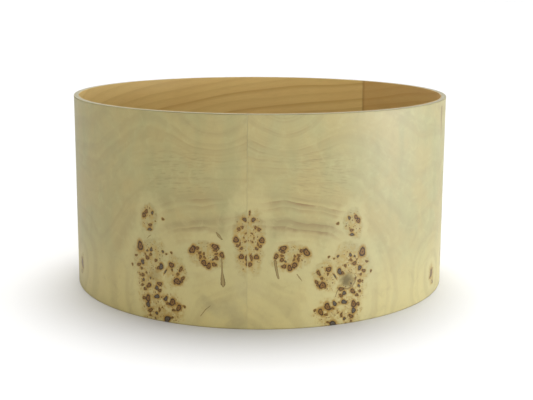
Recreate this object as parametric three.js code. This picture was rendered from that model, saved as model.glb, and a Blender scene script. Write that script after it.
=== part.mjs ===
// A bare bass drum shell: seven cross-laminated plies, faced outside with five leaves of burl veneer.
// Millimetres and degrees. The shell stands on its lower edge at z = 0, with its axis along +Z.
// Angles are measured about +Z from +X, so -90 degrees is the front, on the -Y side.
import * as THREE from 'three';

// Driving dimensions.
const SHELL_DIAMETER = 607; // a 24 in shell is made a little under the size of its head
const SHELL_DEPTH = 304.8; // 12 in
const PLY_THICKNESS = 1.05;
const GLUE_LINE = 0.05; // between one layer and the next
const VENEER_THICKNESS = 0.6;
const SEAM_GAP = 0.3; // between two glued edges of one layer
const SCARF_SLOPE = 10; // a scarfed end tapers over this many times its thickness
const FACETS = 120; // flats around a full turn
const FRONT_ANGLE = -90;
const LEAF_COUNT = 5;

// The plies, from the bore outwards. A long-grain ply is one strip with scarfed ends. A cross-grain ply is
// two sheets with butted edges. The seams are staggered, so no two lie over each other.
const LONG_GRAIN = 'long';
const CROSS_GRAIN = 'cross';
const PLIES = [
  { name: 'inner_face_ply', grain: LONG_GRAIN, seam: 52 },
  { name: 'cross_ply_1', grain: CROSS_GRAIN, seam: 20 },
  { name: 'long_ply_2', grain: LONG_GRAIN, seam: 172 },
  { name: 'cross_ply_3', grain: CROSS_GRAIN, seam: 80 },
  { name: 'long_ply_4', grain: LONG_GRAIN, seam: 292 },
  { name: 'cross_ply_5', grain: CROSS_GRAIN, seam: 140 },
  { name: 'outer_core_ply', grain: LONG_GRAIN, seam: 232 },
];

// The leaves, from the front seam round to the right, to the back and home along the left.
const LEAF_NAMES = [
  'burl_leaf_front_right',
  'burl_leaf_back_right',
  'burl_leaf_back',
  'burl_leaf_back_left',
  'burl_leaf_front_left',
];

const WOODS = {
  innerFace: { color: 0x9f7c45, roughness: 0.6, metalness: 0 },
  core: { color: 0xc0bb9e, roughness: 0.7, metalness: 0 },
  burl: { color: 0xbcb384, roughness: 0.55, metalness: 0 },
};

const TURN = 360;
const FACET_ANGLE = TURN / FACETS;
const layerPitch = PLY_THICKNESS + GLUE_LINE;
const outerRadius = SHELL_DIAMETER / 2;
const veneerInnerRadius = outerRadius - VENEER_THICKNESS;
const boreRadius = veneerInnerRadius - PLIES.length * layerPitch;

// A point of the faceted circle of a radius: off the facet corners it lies on the flat between them.
function facetPoint(radius, angle) {
  const fromMiddle = angle - (Math.floor(angle / FACET_ANGLE) + 0.5) * FACET_ANGLE;
  const apothem = radius * Math.cos(THREE.MathUtils.degToRad(FACET_ANGLE / 2));
  const reach = apothem / Math.cos(THREE.MathUtils.degToRad(fromMiddle));
  const turned = THREE.MathUtils.degToRad(angle);
  return new THREE.Vector2(reach * Math.cos(turned), reach * Math.sin(turned));
}

// The faceted arc from one angle to another, with its two ends and every facet corner between them.
function facetArc(radius, start, end) {
  const points = [facetPoint(radius, start)];
  for (let corner = Math.floor(start / FACET_ANGLE) + 1; corner * FACET_ANGLE < end; corner += 1) {
    points.push(facetPoint(radius, corner * FACET_ANGLE));
  }
  points.push(facetPoint(radius, end));
  return points;
}

// One bent sheet as deep as the shell. With a scarf, its outer face starts and ends further round.
function bentSheet({ name, wood, innerRadius, thickness, start, end, scarf = 0 }) {
  const halfGap = THREE.MathUtils.radToDeg(SEAM_GAP / 2 / innerRadius);
  const outerArc = facetArc(innerRadius + thickness, start + halfGap + scarf, end - halfGap + scarf);
  const innerArc = facetArc(innerRadius, start + halfGap, end - halfGap);
  const plan = new THREE.Shape([...outerArc, ...innerArc.reverse()]);
  const geometry = new THREE.ExtrudeGeometry(plan, { depth: SHELL_DEPTH, bevelEnabled: false });
  const sheet = new THREE.Mesh(geometry, new THREE.MeshStandardMaterial(wood));
  sheet.name = name;
  return sheet;
}

// One ply, as its one strip or its two sheets.
function plyPieces(ply, layer) {
  const innerRadius = boreRadius + layer * layerPitch;
  const wood = layer === 0 ? WOODS.innerFace : WOODS.core;
  const sheet = { wood, innerRadius, thickness: PLY_THICKNESS };
  if (ply.grain === LONG_GRAIN) {
    const scarf = THREE.MathUtils.radToDeg((SCARF_SLOPE * PLY_THICKNESS) / innerRadius);
    return [bentSheet({ ...sheet, name: ply.name, start: ply.seam, end: ply.seam + TURN, scarf })];
  }
  const half = ply.seam + TURN / 2;
  return [
    bentSheet({ ...sheet, name: `${ply.name}_first_sheet`, start: ply.seam, end: half }),
    bentSheet({ ...sheet, name: `${ply.name}_second_sheet`, start: half, end: ply.seam + TURN }),
  ];
}

// The face veneer: equal leaves butted edge to edge, the first starting at the front seam.
function veneerLeaves() {
  const leafAngle = TURN / LEAF_COUNT;
  return LEAF_NAMES.map((name, index) => bentSheet({
    name,
    wood: WOODS.burl,
    innerRadius: veneerInnerRadius,
    thickness: VENEER_THICKNESS,
    start: FRONT_ANGLE + index * leafAngle,
    end: FRONT_ANGLE + (index + 1) * leafAngle,
  }));
}

const drumShell = new THREE.Group();
drumShell.add(...PLIES.flatMap(plyPieces), ...veneerLeaves());

export default drumShell;
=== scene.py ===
"""The looks of a bare bass drum shell: round plies, a brown inner face and book-matched burl leaves."""

import math
import random

import bpy
import numpy as np
from mathutils import Matrix, Vector
from mathutils.geometry import delaunay_2d_cdt


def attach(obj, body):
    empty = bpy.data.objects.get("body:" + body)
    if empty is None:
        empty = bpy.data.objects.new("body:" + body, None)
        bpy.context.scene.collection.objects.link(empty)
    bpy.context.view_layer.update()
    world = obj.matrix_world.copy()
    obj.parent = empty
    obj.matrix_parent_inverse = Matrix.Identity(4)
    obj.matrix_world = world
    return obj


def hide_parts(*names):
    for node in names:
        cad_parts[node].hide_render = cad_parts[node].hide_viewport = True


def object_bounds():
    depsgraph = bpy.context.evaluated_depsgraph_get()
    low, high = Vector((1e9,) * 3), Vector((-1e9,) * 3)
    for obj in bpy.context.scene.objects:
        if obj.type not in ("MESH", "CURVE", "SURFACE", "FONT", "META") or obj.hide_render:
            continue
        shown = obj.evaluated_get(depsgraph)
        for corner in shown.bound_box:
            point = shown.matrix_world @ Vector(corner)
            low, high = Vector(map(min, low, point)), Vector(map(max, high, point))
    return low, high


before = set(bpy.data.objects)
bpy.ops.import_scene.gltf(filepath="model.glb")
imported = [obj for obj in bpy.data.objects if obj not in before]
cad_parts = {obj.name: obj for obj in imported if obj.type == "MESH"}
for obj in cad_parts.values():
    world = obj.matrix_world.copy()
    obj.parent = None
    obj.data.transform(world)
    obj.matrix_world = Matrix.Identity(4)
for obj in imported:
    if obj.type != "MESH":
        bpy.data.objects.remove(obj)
cad_low, cad_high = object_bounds()

# ---------------------------------------------------------------------------------------------- sizes
# Metres and degrees, apart from the burl's figure, which is in millimetres. Angles are measured about +Z
# from +X, so -90 degrees is the front.
MM = 0.001
TURN = 360.0
OUTER_RADIUS = (cad_high.x - cad_low.x) / 2
SHELL_DEPTH = cad_high.z - cad_low.z
PLY_THICKNESS = 1.05 * MM
GLUE_LINE = 0.05 * MM
VENEER_THICKNESS = 0.6 * MM
SEAM_GAP = 0.3 * MM
SCARF_SLOPE = 10
FRONT_ANGLE = -90.0
PLY_COUNT = 7
LAYER_PITCH = PLY_THICKNESS + GLUE_LINE
VENEER_INNER_RADIUS = OUTER_RADIUS - VENEER_THICKNESS
BORE_RADIUS = VENEER_INNER_RADIUS - PLY_COUNT * LAYER_PITCH

STATION_STEP = 0.5  # degrees between one upright row of vertices and the next
LEAF_ROWS = 48  # rows that a leaf's ends and its hidden side are divided into
BORE_ROWS = 12  # and the bore
WALL_MARGIN = 1.0 * MM  # from the shell's edge to the first row
ROUNDING = 0.3 * MM  # radius of the sanded arrises
ROUNDING_STEPS = 3
SHARP_ANGLE = 40  # degrees: faces that meet at more than this show an edge

# The layer of each ply, counted from the bore, and its seam angle. A two-sheet ply has a second seam
# opposite.
LONG_PLIES = {"inner_face_ply": (0, 52.0), "long_ply_2": (2, 172.0), "long_ply_4": (4, 292.0),
              "outer_core_ply": (6, 232.0)}
CROSS_PLIES = {"cross_ply_1": (1, 20.0), "cross_ply_3": (3, 80.0), "cross_ply_5": (5, 140.0)}

# The burl leaves in their order from the front seam round to the right. Each is turned over against the
# one before it, apart from the last, because five is an odd number. "slip" is how many millimetres its
# figure has moved from the seam, "lift" how many it has moved up, and "climb" how far it rises for each
# millimetre from the seam, because no two leaves are laid down exactly alike.
LEAVES = (
    {"name": "burl_leaf_front_right", "turned": False, "slip": 2.5, "lift": 0.0, "climb": -0.022},
    {"name": "burl_leaf_back_right", "turned": True, "slip": -4.0, "lift": 2.0, "climb": 0.015},
    {"name": "burl_leaf_back", "turned": False, "slip": -6.0, "lift": -3.0, "climb": 0.02},
    {"name": "burl_leaf_back_left", "turned": True, "slip": -9.0, "lift": 3.0, "climb": -0.01},
    {"name": "burl_leaf_front_left", "turned": True, "slip": -2.5, "lift": 0.0, "climb": 0.0},
)
LEAF_ANGLE = TURN / len(LEAVES)
LEAF_WIDTH = math.radians(LEAF_ANGLE) * OUTER_RADIUS / MM  # millimetres


# ---------------------------------------------------------------------------------------------- shapes
def sheet_section(inner, outer, ease_inner, ease_outer, rows):
    """The upright section of a sheet as (radius, height) points, its two exposed arrises rounded off.
    The outer wall's points run from wall_first to wall_last."""
    def corner(radius, height, ease, toward_radius, toward_height, first_angle):
        if ease == 0:
            return [(radius, height)]
        centre = (radius + toward_radius * ease, height + toward_height * ease)
        turns = [first_angle + 90.0 * step / ROUNDING_STEPS for step in range(ROUNDING_STEPS + 1)]
        return [(centre[0] + ease * math.cos(math.radians(turn)),
                 centre[1] + ease * math.sin(math.radians(turn))) for turn in turns]

    def wall(radius, low, high):
        return [(radius, low + (high - low) * row / rows) for row in range(rows + 1)]

    points = corner(inner, 0, ease_inner, 1, 1, 180.0)
    points += corner(outer, 0, ease_outer, -1, 1, 270.0)
    wall_first = len(points)
    points += wall(outer, WALL_MARGIN, SHELL_DEPTH - WALL_MARGIN)
    wall_last = len(points) - 1
    points += corner(outer, SHELL_DEPTH, ease_outer, -1, -1, 0.0)
    points += corner(inner, SHELL_DEPTH, ease_inner, 1, -1, 90.0)
    points += wall(inner, SHELL_DEPTH - WALL_MARGIN, WALL_MARGIN)
    return points, wall_first, wall_last


INSIDE_LOOP = 1  # makes the triangulation keep only what is inside the border
SAME_PLACE = 1e-4  # millimetres: points nearer than this are one


class BentSheet:
    """One sheet bent round the axis. Each vertex keeps its flat place, where it lay before the sheet was
    bent: along from the sheet's start, up, and out through its thickness, in metres."""

    def __init__(self, name, inner, thickness, start, end, scarf=0.0, ease_inner=0.0, ease_outer=0.0,
                 rows=1, open_wall=False):
        self.name, self.inner, self.thickness = name, inner, thickness
        self.start, self.scarf = start, scarf
        section, first, last = sheet_section(inner, inner + thickness, ease_inner, ease_outer, rows)
        half_gap = math.degrees(SEAM_GAP / 2 / inner)
        low, high = start + half_gap, end - half_gap
        self.stations = max(2, round((high - low) / STATION_STEP))
        self.ring, self.wall_first, self.wall_last = len(section), first, last
        self.flat = []
        for station in range(self.stations + 1):
            along = math.radians(low + (high - low) * station / self.stations - start) * OUTER_RADIUS
            self.flat += [(along, height, radius - inner) for radius, height in section]
        self.faces = [tuple(reversed(range(self.ring))),
                      tuple(range(self.stations * self.ring, (self.stations + 1) * self.ring))]
        for station in range(self.stations):
            here, there = station * self.ring, (station + 1) * self.ring
            for point in range(self.ring):
                if open_wall and first <= point < last:
                    continue
                following = (point + 1) % self.ring
                self.faces.append((here + point, here + following, there + following, there + point))

    def wall_border(self):
        """The vertices round the outer wall's edge, in order: along the foot, up, back along the top and
        down."""
        foot = [station * self.ring + self.wall_first for station in range(self.stations + 1)]
        top = [station * self.ring + self.wall_last for station in range(self.stations + 1)]
        end_column = [foot[-1] + row for row in range(1, self.wall_last - self.wall_first)]
        start_column = [foot[0] + row for row in range(1, self.wall_last - self.wall_first)]
        return foot + end_column + top[::-1] + start_column[::-1]

    def fill_wall(self, inside):
        """Closes the outer wall with triangles between its border and the (along, up) points inside it."""
        border = self.wall_border()
        flat_points = [self.flat[index][:2] for index in border] + inside
        scaled = [Vector((along / MM, up / MM)) for along, up in flat_points]
        loop = list(range(len(border)))
        places, _, triangles, sources, _, _ = delaunay_2d_cdt(scaled, [], [loop], INSIDE_LOOP, SAME_PLACE)
        index_of = []
        for place, source in zip(places, sources):
            on_border = [index for index in source if index < len(border)]
            if on_border:
                index_of.append(border[on_border[0]])
            else:
                index_of.append(len(self.flat))
                self.flat.append((place.x * MM, place.y * MM, self.thickness))
        self.faces += [tuple(index_of[corner] for corner in triangle) for triangle in triangles]

    def bend(self):
        """Makes the mesh object, with the flat places kept as the attribute "flat"."""
        flat = np.array(self.flat)
        leaning = self.scarf * flat[:, 2] / self.thickness
        turned = np.radians(self.start + leaning) + flat[:, 0] / OUTER_RADIUS
        radius = self.inner + flat[:, 2]
        bent = np.stack([radius * np.cos(turned), radius * np.sin(turned), flat[:, 1]], axis=1)
        mesh = bpy.data.meshes.new(self.name)
        mesh.from_pydata(bent.tolist(), [], self.faces)
        add_attribute(mesh, "flat", flat)
        mesh.shade_smooth()
        mesh.set_sharp_from_angle(angle=math.radians(SHARP_ANGLE))
        sheet = bpy.data.objects.new(self.name, mesh)
        bpy.context.scene.collection.objects.link(sheet)
        return sheet


def add_attribute(mesh, name, vectors):
    attribute = mesh.attributes.new(name, "FLOAT_VECTOR", "POINT")
    attribute.data.foreach_set("vector", np.asarray(vectors, dtype=np.float32).ravel())


# ---------------------------------------------------------------------------------------------- figure
# The burl's eyes, as (across, up, radius, slenderness, tilt): millimetres in the leaf's figure, how many
# times longer than wide the eye is, and the tilt in degrees of its long axis from upright.
HEART_EYES = (
    (1, 168, 1.3, 2.4, 0), (6, 158.5, 2.6, 1.1, 0), (9, 147.5, 1.6, 1.2, 20), (14, 145, 2.1, 1.2, 60),
    (18, 129.5, 3.5, 1.3, 35), (16, 121, 1.5, 1.7, -25), (12.5, 123.5, 1.3, 1.8, 10),
    (10.5, 117.5, 1.9, 1.1, 50), (10.5, 105.5, 3.1, 1.2, 0), (3.2, 104.5, 1.9, 2.2, 8),
    (1.8, 94.5, 2.6, 1.1, 20), (7, 133, 0.9, 1.5, 0), (4, 139, 1.1, 1.6, 70), (5, 127, 0.9, 1.9, 60),
)
NECKLACE_EYES = (
    (81, 112, 4.2, 1.35, 5), (74, 114.5, 2.6, 1.1, 0), (70, 108, 1.8, 1.3, 30), (69, 102.5, 2.0, 1.3, 20),
    (64, 107, 1.5, 1.3, -20), (63, 102, 1.5, 1.4, -25), (64, 94, 3.7, 1.1, 40), (57, 90, 3.4, 1.2, 0),
    (49, 92.5, 2.6, 1.3, 75), (51, 99.5, 1.3, 1.3, 30), (46, 102, 2.5, 1.2, 60), (48, 118.5, 3.9, 1.1, 80),
    (47, 113.2, 1.4, 2.8, 88), (46, 108, 1.6, 1.4, 60), (38, 107, 3.1, 1.2, 0), (42, 116, 0.9, 1.2, 0),
)
MIDDLE_EYES = (
    (114, 104, 1.6, 1.0, 0), (114, 86, 3.7, 1.1, 20), (99, 81.5, 2.4, 1.6, 20), (104, 73.5, 1.7, 1.5, 60),
    (96, 68.5, 2.4, 1.1, 0), (105, 63, 4.6, 1.1, 70), (98, 64, 1.9, 1.2, 40), (131, 81.5, 3.6, 1.2, 0),
    (124, 75, 1.2, 3.6, 32), (140, 89.5, 1.8, 1.3, 20), (128, 104, 1.7, 1.1, 0), (122, 101, 1.3, 1.0, 0),
    (136, 79, 1.9, 1.5, 20), (113, 79, 1.5, 1.2, 0), (109, 60, 1.6, 1.1, 0),
)
OUTER_EYES = (
    (168, 107, 5.6, 1.05, 0), (148, 104.5, 2.2, 1.2, 0), (155, 102, 1.5, 1.1, 0), (149, 97, 2.0, 1.1, 80),
    (155, 91.5, 2.9, 1.1, 60), (164, 84, 3.1, 1.1, 70), (171, 79, 2.4, 1.2, 60), (184, 77, 1.7, 1.0, 0),
    (176, 92, 1.6, 1.3, 70), (166, 74, 1.7, 1.2, 40), (164, 64.5, 2.4, 1.1, 0), (169, 64, 1.4, 1.0, 0),
    (163, 57.5, 2.0, 1.1, 80), (153, 50.5, 3.2, 1.3, 60), (165, 49.5, 1.9, 1.1, 0), (160, 44, 1.9, 1.4, 60),
    (134, 55.5, 2.8, 1.4, 70), (139, 49, 2.6, 1.3, 75), (134, 45.5, 1.8, 2.0, 60), (139, 36, 3.4, 1.2, 70),
    (124, 35, 3.0, 1.2, 30), (155, 31, 4.3, 1.1, 0), (162, 30.5, 2.6, 1.1, 60), (155, 21.5, 3.6, 1.1, 70),
    (151, 13.5, 2.7, 1.4, 60), (151, 6, 1.6, 1.0, 0), (157, 69, 1.4, 1.2, 0), (150, 62, 1.3, 1.3, 0),
    (159, 97, 1.0, 1.4, 0),
)
LOWER_EYES = (
    (113, 31, 4.6, 1.15, 50), (121, 28, 1.9, 1.2, 60), (103, 24, 3.4, 1.5, 10), (94, 27, 1.7, 1.1, 0),
    (111, 19.5, 1.7, 1.5, 70), (135, 17, 1.9, 1.5, 10), (140, 11, 2.0, 1.2, 60), (122, 4.5, 4.6, 1.1, 0),
    (114, 8, 1.6, 1.3, 60), (130, 21, 0.9, 1.4, 60), (131, 36, 1.0, 1.1, 0), (142, 3, 1.4, 1.0, 0),
)
UPPER_EYES = (
    (145, 158.5, 2.2, 1.1, 0), (156, 159, 2.4, 1.5, 60), (160, 153.5, 2.9, 1.3, 60),
    (149, 140.5, 2.2, 1.2, 80), (150, 134, 1.9, 2.0, 72), (127, 151.5, 1.8, 1.1, 0), (140, 147, 0.8, 1.2, 0),
)
FAR_EYES = ((345, 44, 4.6, 1.2, 20), (352, 28, 2.4, 1.2, 60), (339, 38, 1.6, 1.2, 0), (350, 50, 1.5, 1.0, 0))
EYES = HEART_EYES + NECKLACE_EYES + MIDDLE_EYES + OUTER_EYES + LOWER_EYES + UPPER_EYES + FAR_EYES

# Olive-brown stains and dark cracks that trail from the eyes. Each is drawn on some of the leaves, by
# their order, along (across, up, half width) points.
TRAILS = (
    ((1, 2, 4), ((39, 111, 0.7), (38, 96, 0.8), (37.6, 82, 1.2), (37, 73, 2.6), (36.4, 66, 3.2),
                 (36, 61, 1.4))),
    ((3, 4), ((38.5, 130, 1.0), (42.5, 134.5, 1.9), (46, 139.5, 0.6))),
    ((0, 3), ((36.5, 100, 1.9), (38, 90, 1.7), (40, 80, 1.5), (41.5, 75, 1.3))),
    ((0, 2), ((67.5, 81, 0.6), (71, 76, 0.8), (75, 71, 0.3))),
    ((0, 1), ((124.5, 44, 0.4), (128, 53, 0.7), (132, 58, 0.8), (138, 55.5, 0.9), (145, 55, 1.0),
              (152, 58, 1.0), (156.5, 64, 0.9), (157.5, 71, 0.7), (155, 77, 0.3))),
    ((2, 4), ((155, 120, 0.3), (151, 124, 0.6), (148, 126, 0.3))),
    ((4,), ((55, 32, 0.3), (62, 26, 0.5), (70, 15, 0.4))),
    ((0,), ((375.6, 303, 2.6), (375.2, 285, 2.4), (374.8, 272, 1.7), (375.4, 252, 0.6))),
    ((0,), ((370.5, 302, 1.0), (369.5, 290, 0.8), (370, 276, 0.3))),
)

# An olive burr, as (across, up, radius), which is dark on the first two leaves and faint on the others.
BURR = (143.0, 68.0, 13.0)

# Where small specks gather round the eyes, as (across, up, half width, half height, tilt).
CLUSTERS = ((6, 127, 16, 38, 0), (60, 104, 26, 17, 0), (108, 76, 15, 24, 0), (152, 84, 26, 34, 0),
            (150, 42, 24, 48, 0), (118, 20, 26, 22, 0), (152, 150, 13, 20, 0), (346, 42, 12, 18, 0))

# Where the wood's waves show most, and how strongly: (across, up, half width, half height, strength).
WAVES = ((74, 155, 68, 37, 1.0), (56, 262, 62, 46, 0.42), (95, 222, 60, 24, 0.30),
         (250, 190, 70, 130, 0.12))
CALM = 0.08  # the waves' strength everywhere else
WAVE_REACH = 1.25  # how far from a place's middle the waves are calm again, in its own size
WAVE_FADE = 2.0  # how quickly they fade before that
GRAIN_SOFTNESS = 17.0  # millimetres over which the grain blends from round one cluster to round the next
# What the grain parts round, as (across, up, half width, half height).
GRAIN_BODIES = ((6, 112, 16, 22), (60, 104, 26, 17), (84, 92, 50, 34), (150, 42, 24, 48), (118, 20, 26, 22),
                (346, 42, 12, 18))
NEAR_MIDDLE = 0.2  # the least share of a body's size that is divided by, so that its middle is safe
# The loops that hang from the top, as (across, up, half width, half height, rise).
HANGING = (48.0, 322.0, 40.0, 50.0, 110.0)

# Dusky grey-olive clouds beside the seam, as (across, up, half width, half height, tilt).
DUSK = ((9, 62, 9, 30, -14), (26, 28, 20, 16, 40), (52, 30, 24, 9, 35), (16, 12, 14, 16, 0))

EYE_RINGS = (0.0, 0.3, 0.55, 0.78, 1.0, 1.2, 1.9)  # where vertices lie round an eye, in its own radii
SMALL_EYE_RINGS = (0.0, 0.5, 1.0, 1.5)  # and round a small one
SMALL_EYE = 1.5  # millimetres of radius: an eye under this is small
TRAIL_STEP = 1.4  # millimetres between vertices along a trail
TRAIL_RINGS = (-1.8, -1.0, -0.6, 0.0, 0.6, 1.0, 1.8)  # where vertices lie across a trail, in half widths
TRAIL_CLEARANCE = 1.2  # radii round an eye that a trail's vertices keep clear of
GROUND_SPACING = 5.5  # millimetres between the loose vertices of the plain wood
GROUND_BORDER = 20.0  # millimetres of plain wood that the figure has beyond the leaf
GROUND_FROM_EYES = 2.3  # radii round an eye that the loose vertices keep clear of
GROUND_FROM_TRAILS = 2.2  # and half widths beside a trail
RING_SLACK = 0.04  # how far inside its own ring a vertex may fall, where another oval is near
EDGE_INSET = 0.4  # millimetres from the wall's border to the nearest vertex of the figure
EYE_SPOKES = 16  # vertices on each ring of an eye
SMALL_EYE_SPOKES = 9  # and of a small one
FAR = 4.0  # radii or half widths: anything further off counts as this far


THREE_LOBE_SHARE = 0.7  # how strong an oval's three lobes are, against its two
OUTER_RINGS = 0.9  # rings beyond this are turned by half a spoke, against the rings inside


class Ovals:
    """A group of uneven ovals in the figure: how near a point is to one, and the points of its rings."""

    def __init__(self, ovals, unevenness, seed):
        draw = random.Random(seed)
        self.across, self.up, self.width, self.length, tilt = np.array(ovals, float).T
        self.cos, self.sin = np.cos(np.radians(tilt)), np.sin(np.radians(tilt))
        self.count = len(ovals)
        lobes = [(draw.uniform(0, 2 * math.pi), draw.uniform(0, 2 * math.pi)) for _ in ovals]
        self.two_lobes, self.three_lobes = np.array(lobes).T
        self.tone = np.array([draw.random() for _ in ovals])
        self.unevenness = unevenness

    def bulge(self, angle, which):
        """How far out the ovals' outline lies at an angle, in radii."""
        return (1 + self.unevenness * np.cos(2 * angle + self.two_lobes[which])
                + THREE_LOBE_SHARE * self.unevenness * np.cos(3 * angle + self.three_lobes[which]))

    def nearness(self, points):
        """For each (across, up) point, its distance in radii from the nearest oval, and which that is."""
        best, which = np.full(len(points), FAR), np.zeros(len(points), int)
        for oval in range(self.count):
            aside = points[:, 0] - self.across[oval]
            above = points[:, 1] - self.up[oval]
            x = (aside * self.cos[oval] + above * self.sin[oval]) / self.width[oval]
            y = (above * self.cos[oval] - aside * self.sin[oval]) / self.length[oval]
            away = np.hypot(x, y) / self.bulge(np.arctan2(y, x), oval)
            closer = away < best
            best[closer], which[closer] = away[closer], oval
        return best, which

    def ring_points(self, oval, rings, spokes):
        """The (across, up, ring) points of one oval's rings, the innermost of which is its middle."""
        points = []
        for ring in rings:
            for spoke in range(spokes if ring else 1):
                angle = 2 * math.pi * (spoke + 0.5 * (ring > OUTER_RINGS)) / spokes
                reach = ring * self.bulge(angle, oval)
                x = reach * math.cos(angle) * self.width[oval]
                y = reach * math.sin(angle) * self.length[oval]
                points.append((self.across[oval] + x * self.cos[oval] - y * self.sin[oval],
                               self.up[oval] + x * self.sin[oval] + y * self.cos[oval], ring))
        return points


class Trails:
    """The trails drawn on one leaf: how near a point is to one, and the points beside them."""

    def __init__(self, number):
        self.lines = [np.array(points, float) for leaves, points in TRAILS if number in leaves]

    def nearness(self, points):
        """For each (across, up) point, its distance in half widths from the nearest trail."""
        best = np.full(len(points), FAR)
        for line in self.lines:
            for first, second in zip(line, line[1:]):
                run = second[:2] - first[:2]
                share = np.clip((points - first[:2]) @ run / (run @ run), 0, 1)
                away = np.hypot(*(points - first[:2] - share[:, None] * run).T)
                best = np.minimum(best, away / (first[2] + share * (second[2] - first[2])))
        return best

    def points(self):
        """The (across, up) points along and beside every trail."""
        found = []
        for line in self.lines:
            for first, second in zip(line, line[1:]):
                run = second[:2] - first[:2]
                length = np.hypot(*run)
                aside = np.array((-run[1], run[0])) / length
                for share in np.arange(0, 1, TRAIL_STEP / length):
                    half_width = first[2] + share * (second[2] - first[2])
                    found += [first[:2] + share * run + ring * half_width * aside for ring in TRAIL_RINGS]
        return np.array(found)


EYE_OVALS = Ovals([(across, up, radius, radius * slenderness, tilt)
                   for across, up, radius, slenderness, tilt in EYES], unevenness=0.15, seed=5)
CLUSTER_OVALS = Ovals(CLUSTERS, unevenness=0.10, seed=12)
DUSK_OVALS = Ovals(DUSK, unevenness=0.12, seed=2)


def grain(points):
    """How far along the waves of the grain each (across, up) point is. The waves part round the clusters
    of eyes, and hang in loops from the top."""
    near = np.zeros(len(points))
    for across, up, half_width, half_height in GRAIN_BODIES:
        aside, above = points[:, 0] - across, points[:, 1] - up
        radii = np.maximum(np.hypot(aside / half_width, above / half_height), NEAR_MIDDLE)
        near += np.exp(-np.hypot(aside, above) * (1 - 1 / radii) / GRAIN_SOFTNESS)
    across, up, half_width, half_height, rise = HANGING
    aside, above = (points[:, 0] - across) / half_width, (points[:, 1] - up) / half_height
    return rise * np.exp(-aside ** 2 / 2 - above ** 2 / 2) - GRAIN_SOFTNESS * np.log(near)


def wave_strength(points):
    """How strongly the waves show at each (across, up) point."""
    strength = np.full(len(points), CALM)
    for across, up, half_width, half_height, most in WAVES:
        away = np.hypot((points[:, 0] - across) / half_width, (points[:, 1] - up) / half_height)
        strength = np.maximum(strength, most * np.clip(WAVE_FADE * (WAVE_REACH - away), 0, 1))
    return strength


def ground_points():
    """Loose (across, up) points all over a leaf's figure and a border round it."""
    draw = random.Random(3)
    across = LEAF_WIDTH + 2 * GROUND_BORDER
    up = SHELL_DEPTH / MM + 2 * GROUND_BORDER
    ground = []
    for column in range(int(across / GROUND_SPACING)):
        for row in range(int(up / GROUND_SPACING)):
            ground.append((-GROUND_BORDER + (column + draw.random()) * GROUND_SPACING,
                           -GROUND_BORDER + (row + draw.random()) * GROUND_SPACING))
    return np.array(ground)


def figure_points(trails):
    """The (across, up) points that a leaf's mesh needs to draw the eyes and trails."""
    points = []
    for oval in range(EYE_OVALS.count):
        if EYE_OVALS.width[oval] < SMALL_EYE:
            points += EYE_OVALS.ring_points(oval, SMALL_EYE_RINGS, SMALL_EYE_SPOKES)
        else:
            points += EYE_OVALS.ring_points(oval, EYE_RINGS, EYE_SPOKES)
    points = np.array(points)
    away, _ = EYE_OVALS.nearness(points[:, :2])
    kept = points[away > points[:, 2] - RING_SLACK][:, :2]
    beside = trails.points()
    clear, _ = EYE_OVALS.nearness(beside)
    beside = beside[clear > TRAIL_CLEARANCE]
    ground = ground_points()
    eye_away, _ = EYE_OVALS.nearness(ground)
    ground = ground[(eye_away > GROUND_FROM_EYES) & (trails.nearness(ground) > GROUND_FROM_TRAILS)]
    return np.concatenate([kept, beside, ground])


class LeafFigure:
    """Where the figure lies on one leaf, both ways round."""

    def __init__(self, leaf):
        self.leaf = leaf

    def onto_leaf(self, figure):
        """From (across, up) in the figure to (along, up) on the leaf, all in millimetres."""
        from_seam = figure[:, 0] + self.leaf["slip"]
        along = LEAF_WIDTH - from_seam if self.leaf["turned"] else from_seam
        up = figure[:, 1] + self.leaf["lift"] + self.leaf["climb"] * figure[:, 0]
        return np.stack([along, up], axis=1)

    def from_leaf(self, flat):
        """From (along, up) on the leaf to (across, up) in the figure, all in millimetres."""
        from_seam = LEAF_WIDTH - flat[:, 0] if self.leaf["turned"] else flat[:, 0]
        across = from_seam - self.leaf["slip"]
        up = flat[:, 1] - self.leaf["lift"] - self.leaf["climb"] * across
        return np.stack([across, up], axis=1)


def figured_leaf(leaf, number, start):
    """One burl leaf. Its mesh has vertices on the rings of every eye and along every trail. They carry
    "figure", which is (across, up, leaf number); "burl", how near an eye, a trail and a cluster are;
    "grain", how far along the waves, how strong they are and how near the dusk is; and "tone", the nearest
    eye's own tone."""
    sheet = BentSheet("round_" + leaf["name"], VENEER_INNER_RADIUS, VENEER_THICKNESS, start,
                      start + LEAF_ANGLE, ease_outer=ROUNDING, rows=LEAF_ROWS, open_wall=True)
    drawn = LeafFigure(leaf)
    trails = Trails(number)
    border = np.array([sheet.flat[index][:2] for index in sheet.wall_border()]) / MM
    low, high = border.min(0) + EDGE_INSET, border.max(0) - EDGE_INSET
    wanted = drawn.onto_leaf(figure_points(trails))
    wanted = wanted[np.all((wanted > low) & (wanted < high), axis=1)]
    sheet.fill_wall([tuple(point) for point in wanted * MM])
    piece = sheet.bend()
    flat = np.array(sheet.flat)
    figure = drawn.from_leaf(flat[:, :2] / MM)
    eye, which = EYE_OVALS.nearness(figure)
    cluster, _ = CLUSTER_OVALS.nearness(figure)
    dusk, _ = DUSK_OVALS.nearness(figure)
    add_attribute(piece.data, "figure", np.column_stack([figure, np.full(len(figure), float(number))]))
    add_attribute(piece.data, "burl", np.column_stack([eye, trails.nearness(figure), cluster]))
    add_attribute(piece.data, "grain", np.column_stack([grain(figure), wave_strength(figure), dusk]))
    add_attribute(piece.data, "tone", np.column_stack([EYE_OVALS.tone[which]] * 3))
    set_round_normals(piece.data, flat, sheet.thickness)
    return piece


NEARLY = 0.9  # a share a little under one, so that a rounding error leaves no vertex out
SKIN = 0.001 * MM  # a vertex nearer the outer face than this is on it


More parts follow.
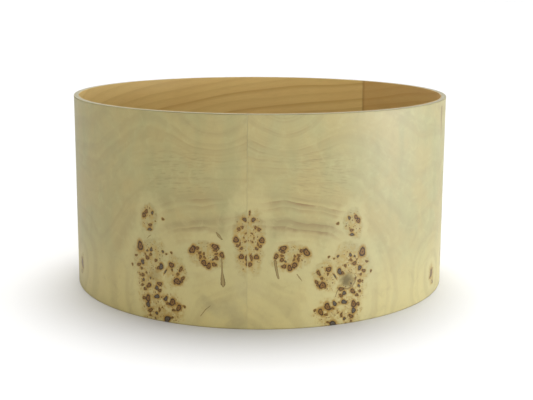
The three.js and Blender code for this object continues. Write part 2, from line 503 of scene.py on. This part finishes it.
def set_round_normals(mesh, flat, thickness):
    """Turns the outer wall's shading straight out from the axis, so that its triangles can't be seen."""
    outward = np.zeros((len(flat), 3))
    near_margin = NEARLY * WALL_MARGIN
    on_wall = (flat[:, 2] > thickness - SKIN) & (flat[:, 1] > near_margin)
    on_wall &= flat[:, 1] < SHELL_DEPTH - near_margin
    places = np.array([vertex.co for vertex in mesh.vertices])
    outward[on_wall, :2] = places[on_wall, :2] / np.linalg.norm(places[on_wall, :2], axis=1)[:, None]
    mesh.normals_split_custom_set_from_vertices(outward.tolist())


# ---------------------------------------------------------------------------------------------- shaders
ORIGIN = (0.0, 0.0, 0.0)
MIX_FIRST, MIX_SECOND, MIX_RESULT = 6, 7, 2  # the Mix node's colour sockets: its others share their names


class Shader:
    """One material, with short calls for the nodes that it is made of."""

    def __init__(self, name, roughness, specular):
        self.material = bpy.data.materials.new(name)
        self.material.use_nodes = True
        self.tree = self.material.node_tree
        self.surface = self.tree.nodes["Principled BSDF"]
        self.surface.inputs["Roughness"].default_value = roughness
        self.surface.inputs["Specular IOR Level"].default_value = specular

    def feed(self, socket, value):
        """Gives a socket its value, or links another node's output to it."""
        if isinstance(value, bpy.types.NodeSocket):
            self.tree.links.new(value, socket)
        elif socket.type == "RGBA":
            socket.default_value = (*value, 1.0)
        else:
            socket.default_value = value

    def node(self, kind, inputs, **settings):
        made = self.tree.nodes.new("ShaderNode" + kind)
        for setting, value in settings.items():
            setattr(made, setting, value)
        for key, value in inputs.items():
            self.feed(made.inputs[key], value)
        return made

    def math(self, operation, first, second=0.0):
        return self.node("Math", {0: first, 1: second}, operation=operation).outputs[0]

    def plus(self, first, second):
        return self.math("ADD", first, second)

    def minus(self, first, second):
        return self.math("SUBTRACT", first, second)

    def times(self, first, second):
        return self.math("MULTIPLY", first, second)

    def length(self, vector):
        return self.node("VectorMath", {0: vector}, operation="LENGTH").outputs["Value"]

    def attribute(self, name):
        return self.node("Attribute", {}, attribute_name=name).outputs["Vector"]

    def parts(self, vector):
        return self.node("SeparateXYZ", {0: vector}).outputs

    def whole(self, x, y, z=0.0):
        return self.node("CombineXYZ", {0: x, 1: y, 2: z}).outputs[0]

    def placed(self, vector, centre, size, tilt=0.0):
        """The vector as seen from a place, turned by a tilt and measured in that place's own size."""
        turn = (0.0, 0.0, math.radians(tilt))
        inputs = {"Vector": vector, "Location": centre, "Rotation": turn, "Scale": size}
        return self.node("Mapping", inputs, vector_type="TEXTURE").outputs[0]

    def noise(self, vector, scale=1.0, detail=2.0, roughness=0.5, distortion=0.0):
        inputs = {"Vector": vector, "Scale": scale, "Detail": detail, "Roughness": roughness,
                  "Distortion": distortion}
        return self.node("TexNoise", inputs).outputs[0]

    def lot(self, value):
        """A random share from 0 to 1 that stays the same between one whole number and the next."""
        whole_number = self.math("FLOOR", value)
        return self.node("TexWhiteNoise", {"W": whole_number}, noise_dimensions="1D").outputs[0]

    def step(self, value, low, high, first=0.0, last=1.0):
        """A smooth step: first below low, last above high."""
        inputs = {"Value": value, "From Min": low, "From Max": high, "To Min": first, "To Max": last}
        return self.node("MapRange", inputs, interpolation_type="SMOOTHSTEP").outputs[0]

    def band(self, value, low, full, fall, high):
        """One between full and fall, and nothing below low or above high."""
        return self.times(self.step(value, low, full), self.step(value, fall, high, 1.0, 0.0))

    def mix(self, factor, first, second):
        """The first colour where the factor is nothing, and the second where it is one."""
        made = self.node("Mix", {}, data_type="RGBA")
        self.feed(made.inputs["Factor"], factor)
        self.feed(made.inputs[MIX_FIRST], first)
        self.feed(made.inputs[MIX_SECOND], second)
        return made.outputs[MIX_RESULT]

    def finish(self, colour, height=None, bump=0.0, roughness=None):
        self.feed(self.surface.inputs["Base Color"], colour)
        if roughness is not None:
            self.feed(self.surface.inputs["Roughness"], roughness)
        if height is not None:
            relief = self.node("Bump", {"Height": height, "Distance": bump})
            self.tree.links.new(relief.outputs[0], self.surface.inputs["Normal"])
        return self.material


# The burl's colours, from the plain wood to the middle of an eye.
CREAM = (0.335, 0.303, 0.138)
WARM_CREAM = (0.36, 0.30, 0.128)
OLIVE = (0.285, 0.272, 0.122)
# Painted light: the paler colour mixed into the lower wall.
PAINTED_LIGHT_FOOT = (0.475, 0.40, 0.168)
DUSKY_OLIVE = (0.245, 0.22, 0.11)
WAVE_BROWN = (0.195, 0.112, 0.046)
BROAD_WAVE_BROWN = (0.25, 0.205, 0.09)
RIPPLE_BROWN = (0.205, 0.155, 0.07)
PALE_MOTTLE = (0.43, 0.385, 0.18)
DARK_MOTTLE = (0.26, 0.225, 0.10)
CLUSTER_RIM = (0.46, 0.405, 0.19)
CLUSTER_STAIN = (0.325, 0.222, 0.056)
HALO_ORANGE = (0.26, 0.136, 0.012)
SPECK_BROWN = (0.13, 0.060, 0.014)
BURR_OLIVE = (0.12, 0.09, 0.028)
TRAIL_OLIVE = (0.20, 0.135, 0.04)
TRAIL_OUTLINE = (0.06, 0.03, 0.008)
EYE_BROWN = (0.175, 0.080, 0.008)
EYE_GREY = (0.078, 0.066, 0.046)
EYE_OUTLINE = (0.022, 0.008, 0.001)
EYE_PIN = (0.03, 0.012, 0.002)
FIBRE_BROWN = (0.22, 0.17, 0.08)

LEAF_SHIFT = 40.0  # millimetres that a leaf's noise is moved by, against the leaf before
FRAY = 0.75  # how far noise moves an eye's outline, in its own radii
TRAIL_FRAY = 0.5  # and a trail's, in half widths
RAGGEDNESS = 0.9  # and a cluster's, a dusky patch's and the burr's, in their own sizes
DRIFT_SHIFT = (900.0, 0.0, 0.0)  # millimetres: which stretch of the noise the drifts are taken from
DRIFT_SIZE = (26.0, 120.0, 60.0)  # millimetres across, up and from one leaf to the next
PAINTED_LIGHT_FOOT_RANGE = (10.0, 130.0)  # millimetres up: the painted light on the lower wall is strongest below the first, and ends at the second
WAVES_PER_MM = 0.115
WAVE_SWAY = 26.0  # millimetres that noise moves the waves by
BROAD_WAVES = 0.45  # broad waves for each fine one
RIPPLES_UP = (182.0, 200.0, 238.0, 262.0)  # millimetres: where the ripples begin, are full, fade and end
RIPPLES_ACROSS = (30.0, 75.0, 130.0, 165.0)
RIPPLE_SIZE = (15.0, 2.4, 1.0)  # millimetres, as the fibre's size
RIPPLE_TILT = -6.0
SPECKS = ((0.24, 0.30), (0.42, 0.36))  # how many cells to a millimetre, and the largest speck in a cell
BURL_FIBRE_SIZE = (0.35, 6.0, 1.0)
BURL_RELIEF = 0.03 * MM


class BurlFields:
    """What the burl's colours are worked out from: the places and attributes that the leaf's mesh carries,
    with the outlines of eyes, trails and clusters frayed a little."""

    def __init__(self, shader):
        self.across, self.up, self.leaf = shader.parts(shader.attribute("figure"))
        self.plane = shader.whole(self.across, self.up, shader.times(self.leaf, LEAF_SHIFT))
        self.flow, self.strength, self.dusk = shader.parts(shader.attribute("grain"))
        self.tone = shader.parts(shader.attribute("tone"))[0]
        eyes, trails, clusters = shader.parts(shader.attribute("burl"))
        fray = shader.minus(shader.noise(self.plane, scale=0.62, detail=3.0, roughness=0.6), 0.5)
        self.eyes = shader.plus(eyes, shader.times(fray, FRAY))
        self.trails = shader.plus(trails, shader.times(fray, TRAIL_FRAY))
        ragged = shader.minus(shader.noise(self.plane, scale=0.12), 0.5)
        self.ragged = shader.times(ragged, RAGGEDNESS)
        self.clusters = shader.plus(clusters, self.ragged)
        self.gathered = shader.step(self.clusters, 0.8, 1.15, 1.0, 0.0)


def burl_ground(shader, burl):
    """Cream, with soft clouds, broad upright drifts, painted light that makes the lower wall paler, and
    dusky patches beside the seam, which are strongest on the last leaf."""
    clouds = shader.noise(burl.plane, scale=0.016, detail=4.0, roughness=0.55, distortion=0.6)
    colour = shader.mix(shader.step(clouds, 0.35, 0.62), CREAM, WARM_CREAM)
    drifts = shader.noise(shader.placed(burl.plane, DRIFT_SHIFT, DRIFT_SIZE), detail=3.0)
    colour = shader.mix(shader.step(drifts, 0.46, 0.72, 0.0, 0.5), colour, OLIVE)
    # Painted light: the lower wall is painted paler, where the floor's shadow would otherwise darken it.
    colour = shader.mix(shader.step(burl.up, *PAINTED_LIGHT_FOOT_RANGE, 0.9, 0.0), colour, PAINTED_LIGHT_FOOT)
    dusk = shader.step(shader.plus(burl.dusk, burl.ragged), 0.2, 1.5, 1.0, 0.0)
    dusk_on_leaf = shader.step(burl.leaf, 3.0, 4.0, 0.10, 0.45)
    return shader.mix(shader.times(dusk, dusk_on_leaf), colour, DUSKY_OLIVE)


def burl_waves(shader, burl, colour):
    """The waves of the grain: each fades in slowly and ends sharply, and each has its own strength. They are
    weaker on the last two leaves. Broad, fainter waves follow the same lines."""
    sway = shader.times(shader.noise(burl.plane, scale=0.016, roughness=0.45), WAVE_SWAY)
    waves = shader.times(shader.plus(burl.flow, sway), WAVES_PER_MM)
    wave = shader.math("FRACT", waves)
    line = shader.times(shader.step(wave, 0.1, 0.9), shader.step(wave, 0.9, 1.0, 1.0, 0.0))
    line = shader.times(line, shader.step(shader.lot(waves), 0.2, 1.0, 0.08, 0.85))
    shown = shader.step(shader.noise(burl.plane, scale=0.03), 0.36, 0.62, 0.25, 1.0)
    line = shader.times(shader.times(line, burl.strength), shown)
    line = shader.times(line, shader.step(burl.leaf, 2.0, 4.0, 1.0, 0.6))
    colour = shader.mix(line, colour, WAVE_BROWN)
    broad = shader.noise(shader.whole(shader.times(waves, BROAD_WAVES), burl.leaf))
    most = shader.math("MAXIMUM", shader.times(burl.strength, 0.55), 0.24)
    return shader.mix(shader.times(shader.step(broad, 0.44, 0.62), most), colour, BROAD_WAVE_BROWN)


def burl_ripples(shader, burl, colour):
    """Short dashes where the surface ripples, above the waves."""
    rippled = shader.times(shader.band(burl.up, *RIPPLES_UP), shader.band(burl.across, *RIPPLES_ACROSS))
    ripples = shader.noise(shader.placed(burl.plane, ORIGIN, RIPPLE_SIZE, RIPPLE_TILT))
    ripples = shader.times(shader.step(ripples, 0.50, 0.68, 0.0, 0.34), rippled)
    return shader.mix(ripples, colour, RIPPLE_BROWN)


def burl_mottle(shader, burl, colour):
    """Small pale and dark patches all over."""
    mottle = shader.noise(burl.plane, scale=0.055, detail=4.0, roughness=0.62, distortion=0.8)
    colour = shader.mix(shader.step(mottle, 0.50, 0.72, 0.0, 0.28), colour, PALE_MOTTLE)
    return shader.mix(shader.step(mottle, 0.30, 0.48, 0.22, 0.0), colour, DARK_MOTTLE)


def burl_clusters(shader, burl, colour):
    """The wood is palest just outside a cluster, and stained orange-brown inside it and round each eye,
    with small specks."""
    pale = shader.band(burl.clusters, 1.0, 1.3, 1.45, 2.3)
    colour = shader.mix(shader.times(pale, 0.42), colour, CLUSTER_RIM)
    patchy = shader.noise(burl.plane, scale=0.16, detail=3.0, roughness=0.6)
    patchy = shader.step(patchy, 0.40, 0.62, 0.10, 0.78)
    colour = shader.mix(shader.times(burl.gathered, patchy), colour, CLUSTER_STAIN)
    colour = shader.mix(shader.step(burl.eyes, 1.0, 1.95, 0.9, 0.0), colour, HALO_ORANGE)
    for scale, largest in SPECKS:
        cells = shader.node("TexVoronoi", {"Vector": burl.plane, "Scale": scale, "Randomness": 1.0})
        size = shader.step(shader.parts(cells.outputs["Color"])[0], 0.35, 1.0, 0.0, largest)
        speck = shader.step(shader.minus(cells.outputs["Distance"], size), -0.06, 0.03, 0.9, 0.0)
        colour = shader.mix(shader.times(speck, burl.gathered), colour, SPECK_BROWN)
    return colour


def burl_burr(shader, burl, colour):
    """A ragged patch of olive brown, darkest at its middle and faint from the third leaf on."""
    across, up, radius = BURR
    place_in_figure = shader.whole(burl.across, burl.up, 0.0)
    from_burr = shader.placed(place_in_figure, (across, up, 0.0), (radius, radius, 1.0))
    burr = shader.plus(shader.length(from_burr), burl.ragged)
    burr_on_leaf = shader.step(burl.leaf, 1.0, 2.0, 1.0, 0.35)
    share = shader.times(shader.step(burr, 0.2, 1.2, 0.95, 0.0), burr_on_leaf)
    return shader.mix(share, colour, BURR_OLIVE)


def burl_trails(shader, burl, colour):
    """A trail has an olive-brown body and a thin dark outline."""
    colour = shader.mix(shader.step(burl.trails, 0.85, 1.25, 0.8, 0.0), colour, TRAIL_OLIVE)
    outline = shader.band(burl.trails, 0.55, 0.8, 0.95, 1.2)
    return shader.mix(shader.times(outline, 0.75), colour, TRAIL_OUTLINE)


def burl_eyes(shader, burl, eye_body, colour):
    """An eye, from outside in: a dark outline, a brown or grey middle, and a dark pin."""
    middle = shader.mix(shader.step(burl.tone, 0.62, 0.8), EYE_BROWN, EYE_GREY)
    colour = shader.mix(eye_body, colour, middle)
    outline = shader.band(burl.eyes, 0.5, 0.76, 0.96, 1.12)
    colour = shader.mix(shader.times(outline, 0.96), colour, EYE_OUTLINE)
    return shader.mix(shader.step(burl.eyes, 0.14, 0.3, 0.8, 0.0), colour, EYE_PIN)


def burl_wood():
    """Mappa burl: pale, mottled poplar with wavy figure and clusters of ringed brown eyes."""
    shader = Shader("mappa_burl", roughness=0.45, specular=0.3)
    burl = BurlFields(shader)
    colour = burl_ground(shader, burl)
    for layer in (burl_waves, burl_ripples, burl_mottle, burl_clusters, burl_burr, burl_trails):
        colour = layer(shader, burl, colour)
    eye_body = shader.step(burl.eyes, 0.95, 1.10, 1.0, 0.0)
    colour = burl_eyes(shader, burl, eye_body, colour)
    fibre = shader.noise(shader.placed(burl.plane, ORIGIN, BURL_FIBRE_SIZE))
    colour = shader.mix(shader.step(fibre, 0.3, 0.7, 0.12, 0.0), colour, FIBRE_BROWN)
    height = shader.minus(fibre, shader.times(eye_body, 0.8))
    roughness = shader.step(burl.eyes, 0.9, 1.2, 0.38, 0.48)
    return shader.finish(colour, height, BURL_RELIEF, roughness)


# The inner face's colours.
EARLY_WOOD = (0.645, 0.475, 0.178)
LATE_WOOD = (0.43, 0.265, 0.068)
CLOUDED_WOOD = (0.58, 0.385, 0.135)
SEAM_BROWN = (0.22, 0.12, 0.035)
# Painted shade: the colour that darkens a wide stretch of the bore.
PAINTED_SHADE_WOOD = (0.34, 0.25, 0.12)
DARK_END_WOOD = (0.40, 0.22, 0.06)
INNER_FIBRE_BROWN = (0.34, 0.21, 0.07)

RING_CLIMB = 0.125  # how far the growth rings rise for each metre round the bore
RINGS_PER_METRE = 62.0
RING_SWAY = 2.2  # rings
SWAY_SIZE = (0.34, 0.08, 1.0)  # metres along and up, as the two sizes below
CLOUD_SIZE = (0.16, 0.03, 1.0)
INNER_FIBRE_SIZE = (0.02, 0.0006, 1.0)
SEAM_CORE = 1 * MM  # the seam is dark as far as this to each side
SEAM_FADE = 4 * MM  # and fades out here
# Metres round from the seam: where the painted shade on the bore begins, is full, fades and ends.
PAINTED_SHADE_SIDE = (0.15, 0.65, 0.9, 1.2)
DARK_END = (0.45, 0.25)  # metres from the strip's far end: where it begins to darken and is darkest
INNER_RELIEF = 0.03 * MM


def growth_rings(shader, plane, climb):
    """How much of each growth ring's dark late wood shows."""
    sway = shader.noise(shader.placed(plane, ORIGIN, SWAY_SIZE), roughness=0.45)
    rings = shader.plus(shader.times(climb, RINGS_PER_METRE), shader.times(sway, RING_SWAY))
    ring = shader.math("FRACT", rings)
    late = shader.times(shader.step(ring, 0.35, 0.92), shader.step(ring, 0.92, 1.0, 1.0, 0.0))
    return shader.times(late, shader.step(shader.lot(rings), 0.0, 1.0, 0.22, 0.66))


def inner_face_wood():
    """Plain-sliced golden wood whose growth rings rise gently to the right, darker towards its far end."""
    shader = Shader("inner_face_wood", roughness=0.5, specular=0.3)
    along, up, _ = shader.parts(shader.attribute("flat"))
    length = 2 * math.pi * OUTER_RADIUS

    # Seen from inside, the wood runs to the right as the angle falls, so the rings rise as "along" falls.
    climb = shader.plus(up, shader.times(along, RING_CLIMB))
    plane = shader.whole(along, climb, 0.0)
    colour = shader.mix(growth_rings(shader, plane, climb), EARLY_WOOD, LATE_WOOD)
    clouds = shader.noise(shader.placed(plane, ORIGIN, CLOUD_SIZE), detail=3.0)
    colour = shader.mix(shader.step(clouds, 0.35, 0.7, 0.0, 0.4), colour, CLOUDED_WOOD)
    near_seam = shader.band(along, -SEAM_FADE, -SEAM_CORE, SEAM_CORE, SEAM_FADE)
    far_seam = shader.step(along, length - SEAM_FADE, length - SEAM_CORE)
    seam = shader.times(shader.math("MAXIMUM", near_seam, far_seam), 0.5)
    colour = shader.mix(seam, colour, SEAM_BROWN)
    # Painted shade: a wide stretch of the bore, round from the seam, is darkened a little.
    colour = shader.mix(shader.times(shader.band(along, *PAINTED_SHADE_SIDE), 0.12), colour, PAINTED_SHADE_WOOD)
    darkening, darkest = DARK_END
    dark_end = shader.step(along, length - darkening, length - darkest, 0.0, 0.5)
    colour = shader.mix(dark_end, colour, DARK_END_WOOD)
    fibre = shader.noise(shader.placed(plane, ORIGIN, INNER_FIBRE_SIZE))
    colour = shader.mix(shader.step(fibre, 0.4, 0.7, 0.0, 0.18), colour, INNER_FIBRE_BROWN)
    return shader.finish(colour, fibre, INNER_RELIEF)


# A core ply as it shows at the shell's edges: its light and dark colours, and the size of its fibres, in
# metres along, up and through the ply. A cross-grain ply shows its end grain.
LONG_EDGE_COLOURS = ((0.46, 0.44, 0.32), (0.37, 0.34, 0.23))
LONG_EDGE_FIBRE = (0.02, 0.002, 0.0003)
CROSS_EDGE_COLOURS = ((0.42, 0.38, 0.26), (0.31, 0.27, 0.17))
CROSS_EDGE_FIBRE = (0.0006, 0.01, 0.0006)
EDGE_RELIEF = 0.02 * MM


def ply_edge_wood(name, colours, fibre_size):
    """Sanded wood with fine streaks and soft clouds."""
    shader = Shader(name, roughness=0.6, specular=0.2)
    light, dark = colours
    flat = shader.attribute("flat")
    fibre = shader.noise(shader.placed(flat, ORIGIN, fibre_size), detail=3.0)
    colour = shader.mix(shader.step(fibre, 0.3, 0.7), light, dark)
    clouds = shader.noise(flat, scale=9.0)
    colour = shader.mix(shader.step(clouds, 0.4, 0.7, 0.0, 0.25), colour, dark)
    return shader.finish(colour, fibre, EDGE_RELIEF)


BURL = burl_wood()
INNER_FACE = inner_face_wood()
LONG_EDGE = ply_edge_wood("long_ply_wood", LONG_EDGE_COLOURS, LONG_EDGE_FIBRE)
CROSS_EDGE = ply_edge_wood("cross_ply_wood", CROSS_EDGE_COLOURS, CROSS_EDGE_FIBRE)


# ---------------------------------------------------------------------------------------------- pieces
def place(sheet, node, slot_name, material):
    """Gives a piece its finish and puts it in the CAD node's place."""
    sheet.data.materials.append(material)
    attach(sheet, "root")
    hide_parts(node)


def make_plies():
    for node, (layer, seam) in LONG_PLIES.items():
        inner = BORE_RADIUS + layer * LAYER_PITCH
        scarf = math.degrees(SCARF_SLOPE * PLY_THICKNESS / inner)
        faces_bore = layer == 0
        sheet = BentSheet("round_" + node, inner, PLY_THICKNESS, seam, seam + TURN, scarf,
                          ease_inner=ROUNDING if faces_bore else 0.0, rows=BORE_ROWS if faces_bore else 1)
        if faces_bore:
            place(sheet.bend(), node, "inner_face_wood", INNER_FACE)
        else:
            place(sheet.bend(), node, "core_wood", LONG_EDGE)
    for ply, (layer, seam) in CROSS_PLIES.items():
        inner = BORE_RADIUS + layer * LAYER_PITCH
        for order, start in (("first", seam), ("second", seam + TURN / 2)):
            node = f"{ply}_{order}_sheet"
            sheet = BentSheet("round_" + node, inner, PLY_THICKNESS, start, start + TURN / 2)
            place(sheet.bend(), node, "core_wood", CROSS_EDGE)


def make_leaves():
    for number, leaf in enumerate(LEAVES):
        piece = figured_leaf(leaf, number, FRONT_ANGLE + number * LEAF_ANGLE)
        place(piece, leaf["name"], "burl_veneer", BURL)


# ---------------------------------------------------------------------------------------------- stage
FLOOR_REACH = 80.0
FLOOR_WHITE = (0.82, 0.82, 0.82)

# The sky is brightest near the horizon, where it is the background, and dimmer higher up.
HORIZON_LEVEL = 1.02
HORIZON_TOP = 14.0  # degrees up: the horizon's brightness begins to fall here
SKY_LEVEL = 0.30
SKY_BOTTOM = 30.0  # and has fallen to the sky's here

# A broad sun from above that leans back and a little aside, a low bluish key light at the right, and a low
# warm fill light in front.
SUN_BREADTH = 38.0
SUN_BACK = 17.0
SUN_ASIDE = 1.0
SUN_HEIGHT = 1.0
SUN_ENERGY = 2.85
KEY_PLACE, KEY_SIZE = (2.74, -0.58, 0.24), (1.9, 0.44)
KEY_ENERGY, KEY_COLOUR = 56.0, (0.88, 0.98, 1.20)
FILL_PLACE, FILL_SIZE = (0.3, -3.2, 0.40), (2.2, 0.75)
FILL_ENERGY, FILL_COLOUR = 26.0, (1.0, 0.91, 0.76)

SENSOR_WIDTH = 36.0  # millimetres, as the focal length
FOCAL_LENGTH = 65.8
LENS_SHIFT_UP = -0.060
SEEN_AS_FAR_AS = 500.0
CAMERA_PLACE = (0.011, -1.6135, 0.4649)
CAMERA_AZIMUTH = 2.9  # degrees round the shell from the front
CAMERA_TILT_DOWN = 10.12
CAMERA_ROLL = 0.276


def make_floor():
    mesh = bpy.data.meshes.new("floor")
    near, far = -FLOOR_REACH, FLOOR_REACH
    mesh.from_pydata([(near, near, 0), (far, near, 0), (far, far, 0), (near, far, 0)], [], [(0, 1, 2, 3)])
    floor = bpy.data.objects.new("floor", mesh)
    bpy.context.scene.collection.objects.link(floor)
    shader = Shader("floor_paper", roughness=0.9, specular=0.0)
    mesh.materials.append(shader.finish(FLOOR_WHITE))


def make_sky():
    """A white studio: bright near the horizon and dimmer above."""
    world = bpy.data.worlds.new("studio")
    world.use_nodes = True
    nodes, links = world.node_tree.nodes, world.node_tree.links
    direction = nodes.new("ShaderNodeTexCoord")
    parts = nodes.new("ShaderNodeSeparateXYZ")
    links.new(direction.outputs["Generated"], parts.inputs[0])
    level = nodes.new("ShaderNodeMapRange")
    level.inputs["From Min"].default_value = math.sin(math.radians(HORIZON_TOP))
    level.inputs["From Max"].default_value = math.sin(math.radians(SKY_BOTTOM))
    level.inputs["To Min"].default_value = HORIZON_LEVEL
    level.inputs["To Max"].default_value = SKY_LEVEL
    links.new(parts.outputs["Z"], level.inputs["Value"])
    links.new(level.outputs[0], nodes["Background"].inputs["Strength"])
    nodes["Background"].inputs["Color"].default_value = (1.0, 1.0, 1.0, 1.0)
    bpy.context.scene.world = world


def make_lamp(name, kind, place_at, energy):
    """A lamp aimed at the middle of the shell."""
    light = bpy.data.lights.new(name, kind)
    light.energy = energy
    lamp = bpy.data.objects.new(name, light)
    lamp.location = place_at
    aim = Vector((0.0, 0.0, SHELL_DEPTH / 2)) - Vector(place_at)
    lamp.rotation_euler = aim.to_track_quat("-Z", "Y").to_euler()
    bpy.context.scene.collection.objects.link(lamp)
    return light


def make_panel(name, place_at, size, energy, colour):
    """A rectangular light of a width and height."""
    light = make_lamp(name, "AREA", place_at, energy)
    light.color = colour
    light.shape = "RECTANGLE"
    light.size, light.size_y = size


def make_light():
    make_sky()
    aside = SUN_HEIGHT * math.tan(math.radians(SUN_ASIDE))
    back = SUN_HEIGHT * math.tan(math.radians(SUN_BACK))
    sun = make_lamp("top_light", "SUN", (aside, back, SHELL_DEPTH / 2 + SUN_HEIGHT), SUN_ENERGY)
    sun.angle = math.radians(SUN_BREADTH)
    make_panel("key_light", KEY_PLACE, KEY_SIZE, KEY_ENERGY, KEY_COLOUR)
    make_panel("fill_light", FILL_PLACE, FILL_SIZE, FILL_ENERGY, FILL_COLOUR)
    bpy.context.scene.view_settings.view_transform = "Standard"


def make_camera():
    camera = bpy.data.cameras.new("camera")
    camera.sensor_width = SENSOR_WIDTH
    camera.lens = FOCAL_LENGTH
    camera.shift_y = LENS_SHIFT_UP
    camera.clip_end = SEEN_AS_FAR_AS
    viewer = bpy.data.objects.new("camera", camera)
    turn = Matrix.Rotation(math.radians(CAMERA_AZIMUTH), 4, "Z")
    tilt = Matrix.Rotation(math.pi / 2 - math.radians(CAMERA_TILT_DOWN), 4, "X")
    roll = Matrix.Rotation(math.radians(CAMERA_ROLL), 4, "Z")
    viewer.matrix_world = turn @ Matrix.Translation(CAMERA_PLACE) @ tilt @ roll
    bpy.context.scene.collection.objects.link(viewer)
    bpy.context.scene.camera = viewer


make_camera()
make_plies()
make_leaves()
make_floor()
make_light()
